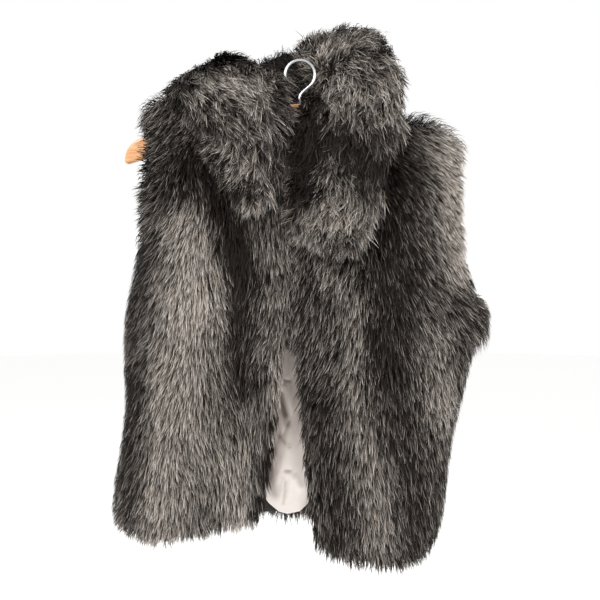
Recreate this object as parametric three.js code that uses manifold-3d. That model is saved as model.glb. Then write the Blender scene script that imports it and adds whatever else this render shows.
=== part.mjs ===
// A long-haired faux fur vest with a shawl collar, hanging open on a wooden hanger.
// Millimetres, +Z up, +X to the wearer's left, the front faces -Y. The origin is the point inside
// the top of the hanger's hook where it hangs; the tables measure X from the fronts' middle instead.

import * as THREE from "three";
import { mergeVertices } from "three/addons/utils/BufferGeometryUtils.js";
import Module from "manifold-3d";

// Seams and the cloth
const SEAM_GAP = 0.3; // between two pieces that are sewn together
const PILE = 22; // backing and hair of the body, as thick as the fur lies
const SHOULDER_PILE = 36; // the hair stands up over the shoulder seam
const SHOULDER_HILL = { from: 0.15, to: 0.62, height: 21 }; // and higher still towards the shoulder's end
const SHOULDER_END = { from: 0.88, to: 1, height: 10 }; // where it drops again, as shares of the shoulder
const LINING = 1.1; // satin and its seam allowance
const SIDE_HEIGHT = 330; // about, from the hem to the underarm
const WIDTH = { front: 230, back: 460 }; // about how wide each panel is, for its close strips
const PLAN_ROUND = 2.6; // exponent of the body's outline from above
const SHOULDER_ROUND = 2.6; // exponent of the body's outline from the side, at the shoulder

// The hanger
const HANG_X = 8; // the hook's place, to the left of the fronts' middle
const BAR_TOP = -55; // top of the bar at its middle
const ARM_SLOPE = THREE.MathUtils.degToRad(18.3);
const TILT = THREE.MathUtils.degToRad(5.9); // the wearer's left end hangs lower
const ARM_REACH = 226; // from the middle to the tip, along X
const ARM_THICK = 10;
const ARM_TIP_HEIGHT = 31;
const MIDDLE_ROUND = 14; // half the length of the bar's round middle
const ARM_MIDDLE_HEIGHT = 30;
const HANGER_GAP = 0.9; // from the bar to the lining that rests on it
const HOOK_WIRE = 2; // radius of the wire
const HOOK_RADIUS = 20; // of the hook's bend, to the middle of the wire

// The armholes
const UNDERARM = { right: -256, left: -310 }; // height of each armhole's lowest point
const ARMHOLE_HALF = 32; // from the side seam's plane to the armhole's edge
const ARMHOLE_ROUND = 0.35; // share of its height that the round foot takes
const NECK_HALF = 62; // from the hanger's middle to each neck point
const NECK_BACK = 0.62; // how far the back neckline reaches, as a share of the back's depth

// The vest as the fur's tips reach it, seen from the front (right and left, as X) and from
// the side (front and back, as depth), a row for each height.
const BODY = [
  { z: -680, right: -236, left: 188, front: 84, back: 68 },
  { z: -615, right: -240, left: 196, front: 84, back: 68 },
  { z: -582, right: -244, left: 205, front: 83, back: 68 },
  { z: -518, right: -234, left: 210, front: 81, back: 67 },
  { z: -453, right: -226, left: 225, front: 79, back: 66 },
  { z: -389, right: -230, left: 242, front: 77, back: 65 },
  { z: -324, right: -226, left: 253, front: 76, back: 64 },
  { z: -292, right: -218, left: 238, front: 75, back: 64 },
  { z: -260, right: -213, left: 228, front: 75, back: 64 },
  { z: -227, right: -203, left: 224, front: 74, back: 64 },
  { z: -179, right: -208, left: 227, front: 72, back: 64 },
  { z: -147, right: -213, left: 230, front: 70, back: 64 },
  { z: -114, right: -210, left: 226, front: 68, back: 64 },
  { z: -82, right: -206, left: 214, front: 66, back: 64 },
  { z: -40, right: -196, left: 196, front: 64, back: 64 },
];

// The two front edges, from the hem up, then along the neckline to the neck points
const FRONT_EDGE = [
  { z: -660, right: -46, left: 27 },
  { z: -595, right: -42, left: 23 },
  { z: -570, right: -39, left: 20 },
  { z: -507, right: -29, left: 13 },
  { z: -445, right: -17, left: 8 },
  { z: -385, right: -12, left: 3 },
  { z: -340, right: -8, left: -3 },
  { z: -285, right: -7.5, left: -3.5 },
  { z: -230, right: -8, left: -3 },
  { z: -180, right: -12, left: 6 },
  { z: -130, right: -24, left: 26 },
  { z: -85, right: -44, left: 46 },
  { z: -40, right: -NECK_HALF, left: NECK_HALF },
];

// Height of each hem, from the front edge or the centre back (0) to the side seam (1)
const HEM = {
  front_right: [
    { s: 0, z: -594 }, { s: 0.25, z: -613 }, { s: 0.5, z: -629 }, { s: 0.75, z: -626 }, { s: 1, z: -610 },
  ],
  front_left: [
    { s: 0, z: -612 }, { s: 0.12, z: -645 }, { s: 0.4, z: -658 }, { s: 0.7, z: -655 }, { s: 1, z: -612 },
  ],
  back: [
    { s: -1, z: -610 }, { s: -0.5, z: -640 }, { s: 0, z: -646 }, { s: 0.5, z: -642 }, { s: 1, z: -612 },
  ],
};

// The largest folds: a soft ridge (height over 0) or trough along a line, the same on fur and lining
const FOLDS = {
  front_right: [
    { fromX: -30, fromZ: -170, toX: -34, toZ: -410, width: 18, height: 7 },
    { fromX: -122, fromZ: -130, toX: -70, toZ: -250, width: 22, height: -7 },
    { fromX: -70, fromZ: -250, toX: -62, toZ: -480, width: 20, height: -8 },
    { fromX: -134, fromZ: -210, toX: -160, toZ: -600, width: 34, height: 8 },
  ],
  front_left: [
    { fromX: 150, fromZ: -150, toX: 122, toZ: -340, width: 26, height: -6 },
    { fromX: 60, fromZ: -340, toX: 118, toZ: -630, width: 24, height: 7 },
    { fromX: 22, fromZ: -390, toX: 52, toZ: -560, width: 16, height: -4 },
    { fromX: 132, fromZ: -420, toX: 158, toZ: -620, width: 20, height: -5 },
    { fromX: 196, fromZ: -370, toX: 186, toZ: -500, width: 22, height: 4 },
  ],
  back: [
    { fromX: -118, fromZ: -190, toX: -142, toZ: -600, width: 34, height: 7 },
    { fromX: -48, fromZ: -220, toX: -30, toZ: -590, width: 28, height: -6 },
    { fromX: 48, fromZ: -270, toX: 76, toZ: -620, width: 32, height: 6 },
    { fromX: 146, fromZ: -210, toX: 128, toZ: -520, width: 28, height: -6 },
  ],
};
const FOLD_FADE = 50; // length over which a fold dies out at each end

// A free edge of the fur is rounded: the share of the pile taken off outside, and where the inside lies
const EDGE = [
  { away: 0, outside: 0.46, inside: 0.72 },
  { away: 5, outside: 0.16, inside: 0.92 },
  { away: 14, outside: 0, inside: 1 },
];

// Each half of the collar, from the tip of its lapel up and round to the centre back. At each row the
// collar runs from its sewn edge (in) to its free edge (out), is so thick, and bulges up by so much.
const COLLAR = {
  collar_right: [
    { in: [-36, -84, -194], out: [-50, -86, -196], thick: 5, bulge: 0 },
    { in: [-19, -84, -180], out: [-76, -86, -182], thick: 22, bulge: 1 },
    { in: [-11, -86, -150], out: [-102, -84, -148], thick: 32, bulge: 2 },
    { in: [-9, -85, -118], out: [-121, -79, -110], thick: 38, bulge: 5 },
    { in: [-9, -78, -88], out: [-141, -66, -78], thick: 41, bulge: 10 },
    { in: [-10, -64, -66], out: [-157, -46, -62], thick: 41, bulge: 18 },
    { in: [-26, -42, -54], out: [-163, -22, -56], thick: 38, bulge: 28 },
    { in: [-48, -16, -50], out: [-153, 8, -52], thick: 36, bulge: 34 },
    { in: [-58, 8, -50], out: [-133, 30, -36], thick: 34, bulge: 28 },
    { in: [-51, 28, -52], out: [-106, 50, -12], thick: 32, bulge: 17 },
    { in: [-36, 39, -55], out: [-72, 63, 16], thick: 31, bulge: 8 },
    { in: [-18, 44, -57], out: [-36, 70, 38], thick: 30, bulge: 2 },
    { in: [-0.15, 45, -58], out: [-0.15, 70, 52], thick: 30, bulge: 0 },
  ],
  collar_left: [
    { in: [42, -88, -256], out: [62, -88, -255], thick: 5, bulge: 0 },
    { in: [14, -86, -242], out: [86, -86, -241], thick: 20, bulge: 1 },
    { in: [2, -86, -212], out: [102, -84, -213], thick: 28, bulge: 2 },
    { in: [1, -86, -176], out: [111, -82, -176], thick: 32, bulge: 3 },
    { in: [3, -82, -140], out: [122, -76, -136], thick: 34, bulge: 4 },
    { in: [7, -73, -106], out: [134, -64, -98], thick: 36, bulge: 6 },
    { in: [11, -58, -80], out: [144, -46, -60], thick: 37, bulge: 10 },
    { in: [26, -40, -64], out: [140, -24, -12], thick: 36, bulge: 10 },
    { in: [44, -18, -60], out: [124, -4, 34], thick: 34, bulge: 8 },
    { in: [53, 8, -58], out: [100, 22, 58], thick: 32, bulge: 5 },
    { in: [46, 28, -58], out: [68, 46, 66], thick: 31, bulge: 2 },
    { in: [24, 42, -58], out: [32, 64, 62], thick: 30, bulge: 0 },
    { in: [0.15, 45, -58], out: [0.15, 70, 52], thick: 30, bulge: 0 },
  ],
};
const COLLAR_STEPS = 22; // sections along each half
const COLLAR_AROUND = 16; // points round each section

const UNDERARM_STRIP = 1.04; // the strip that rounds the armhole's foot
const SEAM_STRIP = 1.93; // the last strip before the shoulder seam, where the wall turns over

// Panel grids: how many strips each has across and up, besides the close ones at free edges
const GRID = {
  front: { across: 12, below: 9, above: 7 },
  back: { across: 20, below: 9, above: 7 },
};
const LINING_STOPS = { edge: 1, hem: 2 }; // strips short of the front edge and of the hem

const wasm = await Module();
wasm.setup();

// A column of a table at any key, on a smooth curve through the rows
function lookUp(rows, key, at, column) {
  const upward = rows[0][key] < rows[rows.length - 1][key];
  const ordered = upward ? rows : [...rows].reverse();
  const last = ordered.length - 1;
  const clamped = THREE.MathUtils.clamp(at, ordered[0][key], ordered[last][key]);
  let i = 0;
  while (i < last - 1 && clamped > ordered[i + 1][key]) i += 1;
  const slope = (k) => {
    const before = ordered[Math.max(k - 1, 0)];
    const after = ordered[Math.min(k + 1, last)];
    return (after[column] - before[column]) / (after[key] - before[key]);
  };
  const span = ordered[i + 1][key] - ordered[i][key];
  const u = (clamped - ordered[i][key]) / span;
  const rise = u * u * (3 - 2 * u);
  const lean = u * (1 - u) * ((1 - u) * slope(i) - u * slope(i + 1)) * span;
  return ordered[i][column] * (1 - rise) + ordered[i + 1][column] * rise + lean;
}

// Height of the hanger's top edge at x
function woodTop(x) {
  const slope = x < HANG_X ? ARM_SLOPE - TILT : ARM_SLOPE + TILT;
  return BAR_TOP - Math.abs(x - HANG_X) * Math.tan(slope);
}

// How far the folds lift the cloth at (x, z)
function foldLift(folds, x, z) {
  let lift = 0;
  for (const fold of folds) {
    const dx = fold.toX - fold.fromX;
    const dz = fold.toZ - fold.fromZ;
    const length = Math.hypot(dx, dz);
    const along = ((x - fold.fromX) * dx + (z - fold.fromZ) * dz) / length;
    const across = ((x - fold.fromX) * dz - (z - fold.fromZ) * dx) / length;
    const past = Math.max(-along, along - length, 0) / FOLD_FADE;
    lift += fold.height * Math.exp(-((across / fold.width) ** 2) - past * past);
  }
  return lift;
}

// How high the hair stands over the shoulder seam, from the neck (0) to the armhole (1)
function shoulderPile(s) {
  const hill = THREE.MathUtils.smoothstep(s, SHOULDER_HILL.from, SHOULDER_HILL.to) * SHOULDER_HILL.height;
  const end = THREE.MathUtils.smoothstep(s, SHOULDER_END.from, SHOULDER_END.to) * SHOULDER_END.height;
  return SHOULDER_PILE + hill - end;
}

// A point of the body. side is -1 on the wearer's right and 1 on the left, face is -1 in front and 1
// behind, s runs from the centre edge (0) to the side (1), t from the hem (0) over the underarm (1) to
// the shoulder seam (2), and inset is the depth below the fur's tips.
function bodyPoint(panel, side, face, s, t, inset) {
  const name = side < 0 ? "right" : "left";
  const front = face < 0;
  const signed = side * s;
  const underarm = front
    ? UNDERARM[name]
    : THREE.MathUtils.lerp(UNDERARM.right, UNDERARM.left, (signed + 1) / 2);
  const above = Math.max(t - 1, 0);
  const rise = Math.sin((above * Math.PI) / 2);
  const tipX = lookUp(BODY, "z", -70, name);
  const tipTop = woodTop(tipX) + LINING + SEAM_GAP + HANGER_GAP + SHOULDER_PILE;
  const hem = lookUp(HEM[panel], "s", front ? s : signed, "z");
  const low = THREE.MathUtils.lerp(hem, underarm, Math.min(t, 1));
  const sideZ = t <= 1 ? low : THREE.MathUtils.lerp(underarm, tipTop, rise);
  const right = lookUp(BODY, "z", sideZ, "right");
  const left = lookUp(BODY, "z", sideZ, "left");
  const depth = lookUp(BODY, "z", sideZ, front ? "front" : "back");

  // The armhole's edge stands off the side seam's plane by an arch with a round foot
  const foot = Math.min(above / ARMHOLE_ROUND, 1);
  const gap = ARMHOLE_HALF * Math.sqrt(1 - (1 - foot) ** 2);
  const reach = (1 - (gap / depth) ** PLAN_ROUND) ** (1 / PLAN_ROUND);
  const middle = (right + left) / 2;
  const half = (left - right) / 2;
  const wide = half / reach;
  let start = 0;
  if (front) {
    const neckTop = woodTop(side * NECK_HALF) + SHOULDER_PILE;
    const edgeZ = t <= 1 ? low : THREE.MathUtils.lerp(underarm, neckTop, rise);
    start = (side * (lookUp(FRONT_EDGE, "z", edgeZ, name) - middle)) / wide;
  }
  const turn = THREE.MathUtils.lerp(Math.asin(start), Math.asin(reach), s);
  const across = Math.sin(turn);
  const flatX = middle + side * across * wide;
  const lift = foldLift(FOLDS[panel], flatX, sideZ);
  const deep = inset - lift;
  const x = middle + side * across * (wide - deep);
  const plan = (1 - Math.abs(across) ** PLAN_ROUND) ** (1 / PLAN_ROUND);

  // The shoulder: the wall leans over to the seam, and behind the neck it ends at the neckline
  const neck = front ? 0 : Math.sqrt(Math.max(1 - (flatX / NECK_HALF) ** 2, 0)) * NECK_BACK;
  const end = (1 - neck ** SHOULDER_ROUND) ** (1 / SHOULDER_ROUND);
  const climb = rise * end;
  const fur = Math.max(1 - inset / PILE, 0) * shoulderPile(s);
  const below = Math.max(inset - PILE, 0);
  const top = woodTop(x) + LINING + SEAM_GAP + HANGER_GAP + fur - below;
  const z = t <= 1 ? low : THREE.MathUtils.lerp(underarm, top, climb);
  const leaning = (1 - climb ** SHOULDER_ROUND) ** (1 / SHOULDER_ROUND);
  const y = Math.max((depth - deep) * plan * leaning, SEAM_GAP / 2);
  return new THREE.Vector3(x, face * y, z);
}

// Shares from 0 to 1, with two close steps at each end that is rounded
function strips(count, length, roundStart, roundEnd) {
  const close = EDGE.slice(1).map((row) => row.away / length);
  const from = roundStart ? close[close.length - 1] : 0;
  const to = roundEnd ? 1 - close[close.length - 1] : 1;
  const middle = Array.from({ length: count + 1 }, (_, i) => THREE.MathUtils.lerp(from, to, i / count));
  const head = roundStart ? [0, close[0]] : [];
  const tail = roundEnd ? [1 - close[0], 1] : [];
  return [...head, ...middle, ...tail];
}

// A closed wall between two grids of points with the same rows and columns
function wallGeometry(outer, inner) {
  const rows = outer.length;
  const columns = outer[0].length;
  const points = [...outer.flat(), ...inner.flat()];
  const at = (layer, i, j) => (layer * rows + i) * columns + j;
  const faces = [];
  const quad = (a, b, c, d) => faces.push(a, b, c, a, c, d);
  for (let i = 0; i + 1 < rows; i += 1) {
    for (let j = 0; j + 1 < columns; j += 1) {
      quad(at(0, i, j), at(0, i, j + 1), at(0, i + 1, j + 1), at(0, i + 1, j));
      quad(at(1, i, j), at(1, i + 1, j), at(1, i + 1, j + 1), at(1, i, j + 1));
    }
    quad(at(0, i, 0), at(0, i + 1, 0), at(1, i + 1, 0), at(1, i, 0));
    quad(at(0, i + 1, columns - 1), at(0, i, columns - 1), at(1, i, columns - 1), at(1, i + 1, columns - 1));
  }
  for (let j = 0; j + 1 < columns; j += 1) {
    quad(at(0, 0, j + 1), at(0, 0, j), at(1, 0, j), at(1, 0, j + 1));
    quad(at(0, rows - 1, j), at(0, rows - 1, j + 1), at(1, rows - 1, j + 1), at(1, rows - 1, j));
  }
  return facingOut(points, faces);
}

// Turns the faces over if they enclose a negative volume
function facingOut(points, faces) {
  let volume = 0;
  for (let i = 0; i < faces.length; i += 3) {
    const [a, b, c] = [points[faces[i]], points[faces[i + 1]], points[faces[i + 2]]];
    volume += a.dot(b.clone().cross(c));
  }
  const index = volume < 0 ? [...faces].reverse() : faces;
  const geometry = new THREE.BufferGeometry().setFromPoints(points);
  geometry.setIndex(index);
  geometry.computeVertexNormals();
  return geometry;
}

// The grid of one panel, with its wall between two insets that may depend on the nearest free edge
function panelGrid(panel, across, up, insetAt) {
  return up.map((t, i) =>
    across.map((s, j) => {
      const side = panel === "back" ? Math.sign(s) || 1 : panel === "front_right" ? -1 : 1;
      const face = panel === "back" ? 1 : -1;
      return bodyPoint(panel, side, face, Math.abs(s), t, insetAt(i, j));
    }),
  );
}

// The strips of a panel: from edge to edge, and from the hem over the underarm to the shoulder seam
function panelStrips(panel) {
  const back = panel === "back";
  const grid = back ? GRID.back : GRID.front;
  const half = strips(grid.across, back ? WIDTH.back : WIDTH.front, true, true);
  const below = strips(grid.below, SIDE_HEIGHT, true, false);
  const above = Array.from({ length: grid.above - 1 }, (_, i) => 1 + (i + 1) / grid.above);
  above.unshift(UNDERARM_STRIP);
  return {
    across: back ? half.map((s) => 2 * s - 1) : half,
    up: [...below, ...above, SEAM_STRIP, 2],
  };
}

// A front or the back in fur, rounded at the hem, the front edge and the armholes
function furPanel(panel) {
  const back = panel === "back";
  const { across, up } = panelStrips(panel);
  const never = EDGE.length;
  const shareAt = (i, j) => {
    const open = up[i] > 1;
    const last = across.length - 1;
    const fromSide = open ? last - j : never;
    const fromCentre = back && !open ? never : j;
    return EDGE[Math.min(i, fromCentre, fromSide, never - 1)];
  };
  const outer = panelGrid(panel, across, up, (i, j) => PILE * shareAt(i, j).outside);
  const inner = panelGrid(panel, across, up, (i, j) => PILE * shareAt(i, j).inside);
  return wallGeometry(outer, inner);
}

// The satin inside a panel, on the same strips
function liningPanel(panel) {
  const strip = panelStrips(panel);
  const across = panel === "back" ? strip.across : strip.across.slice(LINING_STOPS.edge);
  const up = strip.up.slice(LINING_STOPS.hem);
  const outside = PILE + SEAM_GAP;
  const outer = panelGrid(panel, across, up, () => outside);
  const inner = panelGrid(panel, across, up, () => outside + LINING);
  return wallGeometry(outer, inner);
}

// A solid for cutting, from a closed geometry
function toManifold(geometry) {
  const bare = geometry.clone();
  bare.deleteAttribute("normal");
  bare.deleteAttribute("uv");
  const merged = mergeVertices(bare, 1e-4);
  const mesh = new wasm.Mesh({
    numProp: 3,
    vertProperties: new Float32Array(merged.attributes.position.array),
    triVerts: new Uint32Array(merged.index.array),
  });
  return new wasm.Manifold(mesh);
}

function fromManifold(solid) {
  const mesh = solid.getMesh();
  const geometry = new THREE.BufferGeometry();
  geometry.setAttribute("position", new THREE.BufferAttribute(new Float32Array(mesh.vertProperties), 3));
  geometry.setIndex(new THREE.BufferAttribute(new Uint32Array(mesh.triVerts), 1));
  geometry.computeVertexNormals();
  return geometry;
}

// The room that a fur panel takes up, grown by the seam gap outward, upward and towards the neck
function panelRoom(panel) {
  const { across, up } = panelStrips(panel);
  const outer = panelGrid(panel, across, up, () => -SEAM_GAP);
  const inner = panelGrid(panel, across, up, () => PILE);
  const room = toManifold(wallGeometry(outer, inner));
  const neckward = {
    front_right: [SEAM_GAP, SEAM_GAP, 0],
    front_left: [-SEAM_GAP, SEAM_GAP, 0],
    back: [0, -SEAM_GAP, 0],
  };
  return room.add(room.translate([0, 0, SEAM_GAP])).add(room.translate(neckward[panel]));
}

// The loop round one section of the collar
function collarSection(row, cap) {
  const start = new THREE.Vector3(...row.in);
  const end = new THREE.Vector3(...row.out);
  const wide = end.clone().sub(start);
  const up = new THREE.Vector3(0, 0, row.bulge);
  const along = cap.clone().normalize();
  const loop = [];
  for (let k = 0; k < COLLAR_AROUND; k += 1) {
    const angle = (2 * Math.PI * k) / COLLAR_AROUND;
    const reach = (1 - Math.cos(angle)) / 2;
    const side = Math.sign(Math.sin(angle)) * Math.abs(Math.sin(angle)) ** 0.8;
    const bend = up.clone().multiplyScalar(4 * reach * (1 - reach));
    const tangent = wide.clone().addScaledVector(up, 4 * (1 - 2 * reach));
    const normal = tangent.cross(along).normalize();
    const point = start.clone().addScaledVector(wide, reach).add(bend);
    loop.push(point.addScaledVector(normal, (side * row.thick) / 2));
  }
  return loop;
}

// One half of the collar, before the body's room is cut from it
function collarLoft(rows) {
  const table = rows.map((row, k) => ({
    k,
    inX: row.in[0], inY: row.in[1], inZ: row.in[2],
    outX: row.out[0], outY: row.out[1], outZ: row.out[2],
    thick: row.thick,
    bulge: row.bulge,
  }));
  const read = (k) => {
    const at = (column) => lookUp(table, "k", k, column);
    return {
      in: [at("inX"), at("inY"), at("inZ")],
      out: [at("outX"), at("outY"), at("outZ")],
      thick: at("thick"),
      bulge: at("bulge"),
    };
  };
  const last = rows.length - 1;
  const middle = (k) => {
    const row = read(k);
    return new THREE.Vector3(...row.in).add(new THREE.Vector3(...row.out)).multiplyScalar(0.5);
  };
  const points = [];
  for (let i = 0; i <= COLLAR_STEPS; i += 1) {
    const k = (last * i) / COLLAR_STEPS;
    const along = i === COLLAR_STEPS
      ? new THREE.Vector3(-Math.sign(rows[0].in[0]), 0, 0)
      : middle(Math.min(k + 0.2, last)).sub(middle(Math.max(k - 0.2, 0)));
    points.push(...collarSection(read(k), along));
  }
  const faces = [];
  const at = (i, k) => i * COLLAR_AROUND + (k % COLLAR_AROUND);
  for (let i = 0; i < COLLAR_STEPS; i += 1) {
    for (let k = 0; k < COLLAR_AROUND; k += 1) {
      faces.push(at(i, k), at(i, k + 1), at(i + 1, k + 1), at(i, k), at(i + 1, k + 1), at(i + 1, k));
    }
  }
  for (let k = 1; k + 1 < COLLAR_AROUND; k += 1) {
    faces.push(at(0, 0), at(0, k + 1), at(0, k));
    faces.push(at(COLLAR_STEPS, 0), at(COLLAR_STEPS, k), at(COLLAR_STEPS, k + 1));
  }
  return facingOut(points, faces);
}

// A collar half lies on the panels: their room, moved out by the seam gap, is cut from it
function collarHalf(name, rooms) {
  let solid = toManifold(collarLoft(COLLAR[name]));
  for (const room of rooms) solid = solid.subtract(room);
  const bodies = solid.decompose();
  bodies.sort((a, b) => b.volume() - a.volume());
  return fromManifold(bodies[0]);
}

// The wooden bar: two arms that slope down from a round middle. At each tip the top edge
// curves down to a nearly square lower corner.
function hangerBar() {
  const top = (x) => -Math.abs(x) * Math.tan(ARM_SLOPE);
  const tipTop = ARM_REACH - 28; // where the top edge starts to turn down
  const tipFoot = top(ARM_REACH) - ARM_TIP_HEIGHT;
  const foot = -ARM_MIDDLE_HEIGHT;
  const shape = new THREE.Shape();
  shape.moveTo(0, foot);
  shape.quadraticCurveTo(90, foot - 22, ARM_REACH - 6, tipFoot);
  shape.quadraticCurveTo(ARM_REACH, tipFoot, ARM_REACH, tipFoot + 6);
  shape.quadraticCurveTo(ARM_REACH, top(ARM_REACH), tipTop, top(tipTop));
  shape.lineTo(MIDDLE_ROUND, top(MIDDLE_ROUND));
  shape.quadraticCurveTo(0, 0, -MIDDLE_ROUND, top(MIDDLE_ROUND));
  shape.lineTo(-tipTop, top(tipTop));
  shape.quadraticCurveTo(-ARM_REACH, top(ARM_REACH), -ARM_REACH, tipFoot + 6);
  shape.quadraticCurveTo(-ARM_REACH, tipFoot, -ARM_REACH + 6, tipFoot);
  shape.quadraticCurveTo(-90, foot - 22, 0, foot);
  const rounding = { across: 4.3, inward: 3.8 };
  const geometry = new THREE.ExtrudeGeometry(shape, {
    depth: ARM_THICK - 2 * rounding.across,
    curveSegments: 8,
    bevelEnabled: true,
    bevelThickness: rounding.across,
    bevelSize: rounding.inward,
    bevelOffset: -rounding.inward,
    bevelSegments: 3,
  });
  geometry.translate(0, 0, -ARM_THICK / 2 + rounding.across);
  return geometry;
}

// The hook: a stem, then a bend over the top that ends past the far side
function hangerHook() {
  const middle = HOOK_WIRE - HOOK_RADIUS; // height of the bend's middle
  const foot = BAR_TOP - (MIDDLE_ROUND * Math.tan(ARM_SLOPE)) / 2 + SEAM_GAP;
  const path = [new THREE.Vector3(0, 0, foot), new THREE.Vector3(0, 0, BAR_TOP + 9)];
  for (let degrees = -58; degrees <= 196; degrees += 12.7) {
    const angle = THREE.MathUtils.degToRad(degrees);
    path.push(new THREE.Vector3(Math.cos(angle) * HOOK_RADIUS, 0, middle + Math.sin(angle) * HOOK_RADIUS));
  }
  const section = new THREE.Shape();
  section.absarc(0, 0, HOOK_WIRE, 0, 2 * Math.PI);
  return new THREE.ExtrudeGeometry(section, {
    steps: 28,
    curveSegments: 4,
    extrudePath: new THREE.CatmullRomCurve3(path, false, "centripetal"),
  });
}

const MATERIALS = {
  fur: new THREE.MeshStandardMaterial({ color: "#5a534d", roughness: 0.9, metalness: 0 }),
  satin: new THREE.MeshStandardMaterial({ color: "#e1d7d2", roughness: 0.45, metalness: 0 }),
  wood: new THREE.MeshStandardMaterial({ color: "#dfa877", roughness: 0.4, metalness: 0 }),
  steel: new THREE.MeshStandardMaterial({ color: "#b9bcc0", roughness: 0.25, metalness: 1 }),
};

function part(name, geometry, material) {
  const mesh = new THREE.Mesh(geometry, material);
  mesh.name = name;
  return mesh;
}

const vest = new THREE.Group();
for (const panel of ["front_right", "front_left", "back"]) {
  vest.add(part(panel, furPanel(panel), MATERIALS.fur));
  vest.add(part(`lining_${panel}`, liningPanel(panel), MATERIALS.satin));
}
const rooms = ["front_right", "front_left", "back"].map(panelRoom);
for (const name of Object.keys(COLLAR)) {
  vest.add(part(name, collarHalf(name, rooms), MATERIALS.fur));
}
const bar = part("hanger_bar", hangerBar(), MATERIALS.wood);
bar.rotation.set(Math.PI / 2, TILT, 0, "YXZ");
bar.position.set(HANG_X, 0, BAR_TOP);
vest.add(bar);
const hook = part("hanger_hook", hangerHook(), MATERIALS.steel);
hook.position.x = HANG_X;
vest.add(hook);
vest.position.x = -HANG_X;

export default vest;
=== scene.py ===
# %% [markdown]
# # A faux fur vest on a wooden hanger
#
# The real vest is a knitted backing with acrylic hair tufted into it: dark roots, pale tips,
# long locks that lie over each other. It could be made with Blender's hair curves, but an
# exported part must be plain meshes. So each sewn piece gets a thin backing, and Geometry
# Nodes plant some fifty thousand tapered locks on each, combed by a table of directions.

# %% Load the frame
import math

import bmesh
import bpy
import numpy as np
from mathutils import Matrix, Vector
from mathutils.bvhtree import BVHTree


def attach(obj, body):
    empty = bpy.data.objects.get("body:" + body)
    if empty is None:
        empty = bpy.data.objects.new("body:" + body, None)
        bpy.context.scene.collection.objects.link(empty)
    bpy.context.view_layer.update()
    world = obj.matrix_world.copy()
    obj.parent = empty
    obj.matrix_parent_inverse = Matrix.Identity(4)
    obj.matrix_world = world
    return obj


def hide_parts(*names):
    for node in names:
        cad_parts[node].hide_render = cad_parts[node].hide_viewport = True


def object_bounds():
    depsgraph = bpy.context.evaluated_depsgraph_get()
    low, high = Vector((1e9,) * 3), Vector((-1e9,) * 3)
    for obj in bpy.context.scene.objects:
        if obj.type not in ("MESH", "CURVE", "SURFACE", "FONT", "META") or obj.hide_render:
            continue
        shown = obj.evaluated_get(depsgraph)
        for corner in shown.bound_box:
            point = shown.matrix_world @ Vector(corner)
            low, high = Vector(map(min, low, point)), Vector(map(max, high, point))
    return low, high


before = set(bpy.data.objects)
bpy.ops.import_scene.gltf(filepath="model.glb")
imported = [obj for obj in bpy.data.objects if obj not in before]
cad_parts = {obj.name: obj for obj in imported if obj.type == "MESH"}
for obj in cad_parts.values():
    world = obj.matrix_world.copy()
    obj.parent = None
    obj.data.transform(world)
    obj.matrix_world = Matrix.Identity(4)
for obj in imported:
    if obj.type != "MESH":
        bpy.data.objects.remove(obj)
cad_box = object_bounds()
MM = 0.001
print("CAD box in mm:", [[round(c / MM) for c in corner] for corner in cad_box])

# %% [markdown]
# ## The camera
#
# The photograph was taken from about 0.86 m, level, with the lens at the height of the
# vest's middle. The camera comes first, because everything else is judged through it.

# %% Set the camera
CAMERA_PLACE = (0.0, -0.857, -0.320)
SENSOR_WIDTH = 36.0
FOCAL_PIXELS = 638.0
IMAGE_WIDTH = 600.0

camera_data = bpy.data.cameras.new("camera")
camera_data.sensor_width = SENSOR_WIDTH
camera_data.lens = SENSOR_WIDTH * FOCAL_PIXELS / IMAGE_WIDTH
camera = bpy.data.objects.new("camera", camera_data)
camera.location = CAMERA_PLACE
camera.rotation_euler = (math.radians(90), 0, 0)
bpy.context.scene.collection.objects.link(camera)
bpy.context.scene.camera = camera
print("lens in mm:", round(camera_data.lens, 1))

# %% [markdown]
# ## Helpers for nodes and meshes
#
# Node trees are easier to read when one line makes one node. `add` makes a node, applies its
# settings, and links or sets its inputs. `ramp` and `surfaced` make what every material has.
# Meshes are edited as arrays of points.

# %% Nodes and colours
def linear(hex_colour):
    """An sRGB hex colour as Blender's linear RGBA."""
    values = [int(hex_colour[i:i + 2], 16) / 255 for i in (1, 3, 5)]
    rgb = [v / 12.92 if v <= 0.04045 else ((v + 0.055) / 1.055) ** 2.4 for v in values]
    return (*rgb, 1.0)


def socket_of(sockets, key):
    """A node's socket by name or number. Of several with one name, the one in use."""
    if isinstance(key, int):
        return sockets[key]
    return next(s for s in sockets if s.name == key and s.enabled and not s.is_unavailable)


def add(tree, kind, inputs=None, out=0, **settings):
    """Adds a node to a tree and returns the output named or numbered by out."""
    node = tree.nodes.new(kind)
    for key, value in settings.items():
        setattr(node, key, value)
    for key, value in (inputs or {}).items():
        socket = socket_of(node.inputs, key)
        if isinstance(value, bpy.types.NodeSocket):
            tree.links.new(value, socket)
        else:
            socket.default_value = value
    return socket_of(node.outputs, out) if node.outputs else node


def ramp(tree, value, *stops):
    """The colour that a value from 0 to 1 has on a ramp of places and hex colours."""
    node = tree.nodes.new("ShaderNodeValToRGB")
    tree.links.new(value, node.inputs["Fac"])
    while len(node.color_ramp.elements) < len(stops):
        node.color_ramp.elements.new(1.0)
    for element, (place, colour) in zip(node.color_ramp.elements, stops):
        element.position = place
        element.color = linear(colour)
    return node.outputs["Color"]


def new_material(name):
    """An empty material and its node tree."""
    material = bpy.data.materials.new(name)
    material.use_nodes = True
    material.node_tree.nodes.clear()
    return material, material.node_tree


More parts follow.
